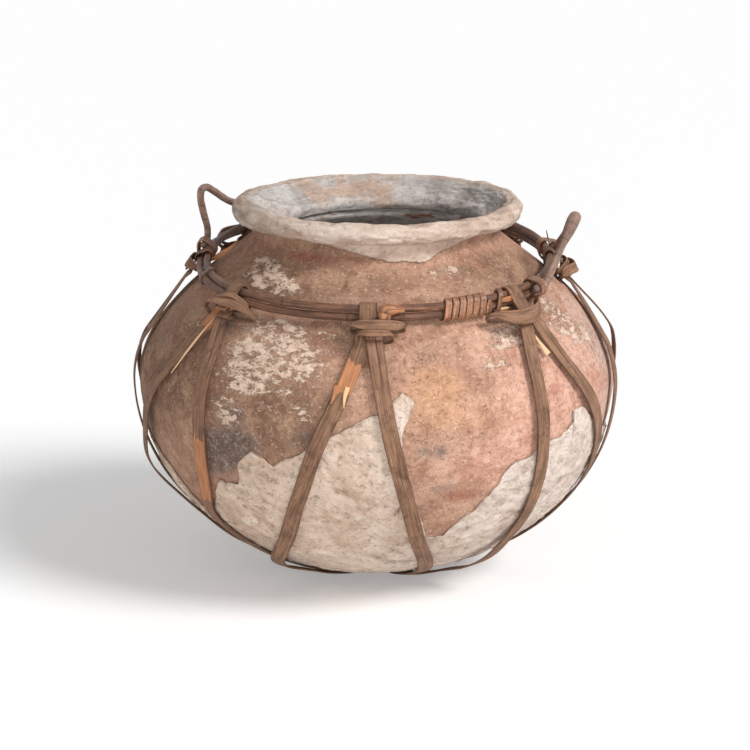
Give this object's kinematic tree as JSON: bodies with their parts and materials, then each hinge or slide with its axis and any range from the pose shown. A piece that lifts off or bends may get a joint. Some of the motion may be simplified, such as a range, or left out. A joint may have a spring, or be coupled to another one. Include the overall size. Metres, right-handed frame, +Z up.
{
  "type": "terracotta jar in a cane carrying harness",
  "caption": "Round-bottomed clay jar with a rolled lip and patches of dried mud, held in a harness of split cane with a rattan hoop, lashings and loop handles.",
  "frame": {"origin": "on the ground under the jar's axis", "axes": "+Z up along the jar's axis, -Y towards the front, where the hoop is lashed, and +X to the right seen from the front"},
  "size_m": [0.3888, 0.3897, 0.3107],
  "materials": {
    "clay": "unglazed terracotta, worn and sooty",
    "mud": "dry rough mud",
    "limewash": "dry chalky wash",
    "hoop_cane": "dark rattan with a dull polish",
    "strap_cane": "split cane, dry and fibrous",
    "lashing_cane": "polished split cane",
    "handle_cane": "rattan with rings and nodes"
  },
  "bodies": {
    "root": {"jar_body": "clay", "base_mud_coat": "mud", "lip_mud_coat": "limewash", "upper_hoop": "hoop_cane", "lower_hoop": "hoop_cane", "base_ring": "strap_cane", "strap_1": "strap_cane", "strap_2": "strap_cane", "strap_3": "strap_cane", "strap_4": "strap_cane", "strap_5": "strap_cane", "strap_6": "strap_cane", "strap_7": "strap_cane", "strap_8": "strap_cane", "collar_1": "strap_cane", "collar_2": "strap_cane", "collar_3": "strap_cane", "collar_4": "strap_cane", "collar_5": "strap_cane", "collar_6": "strap_cane", "collar_7": "strap_cane", "collar_8": "strap_cane", "hoop_lashing": "lashing_cane", "hoop_tie": "lashing_cane", "left_front_lashing": "lashing_cane", "left_back_lashing": "lashing_cane", "right_front_lashing": "lashing_cane", "right_back_lashing": "lashing_cane"},
    "left_handle": {"left_handle": "handle_cane"},
    "right_handle": {"right_handle": "handle_cane"}
  },
  "joints": [
    {"name": "left_handle_rock", "type": "hinge", "parent": "root", "child": "left_handle", "pos_m": [-0.11605, 0.07255, 0.26165], "axis": [0.4043, 0.9138, 0.0387], "range_deg": [-12, 12]},
    {"name": "right_handle_rock", "type": "hinge", "parent": "root", "child": "right_handle", "pos_m": [0.13276, -0.03058, 0.25099], "axis": [0.1648, 0.9841, 0.0666], "range_deg": [-12, 12]}
  ]
}
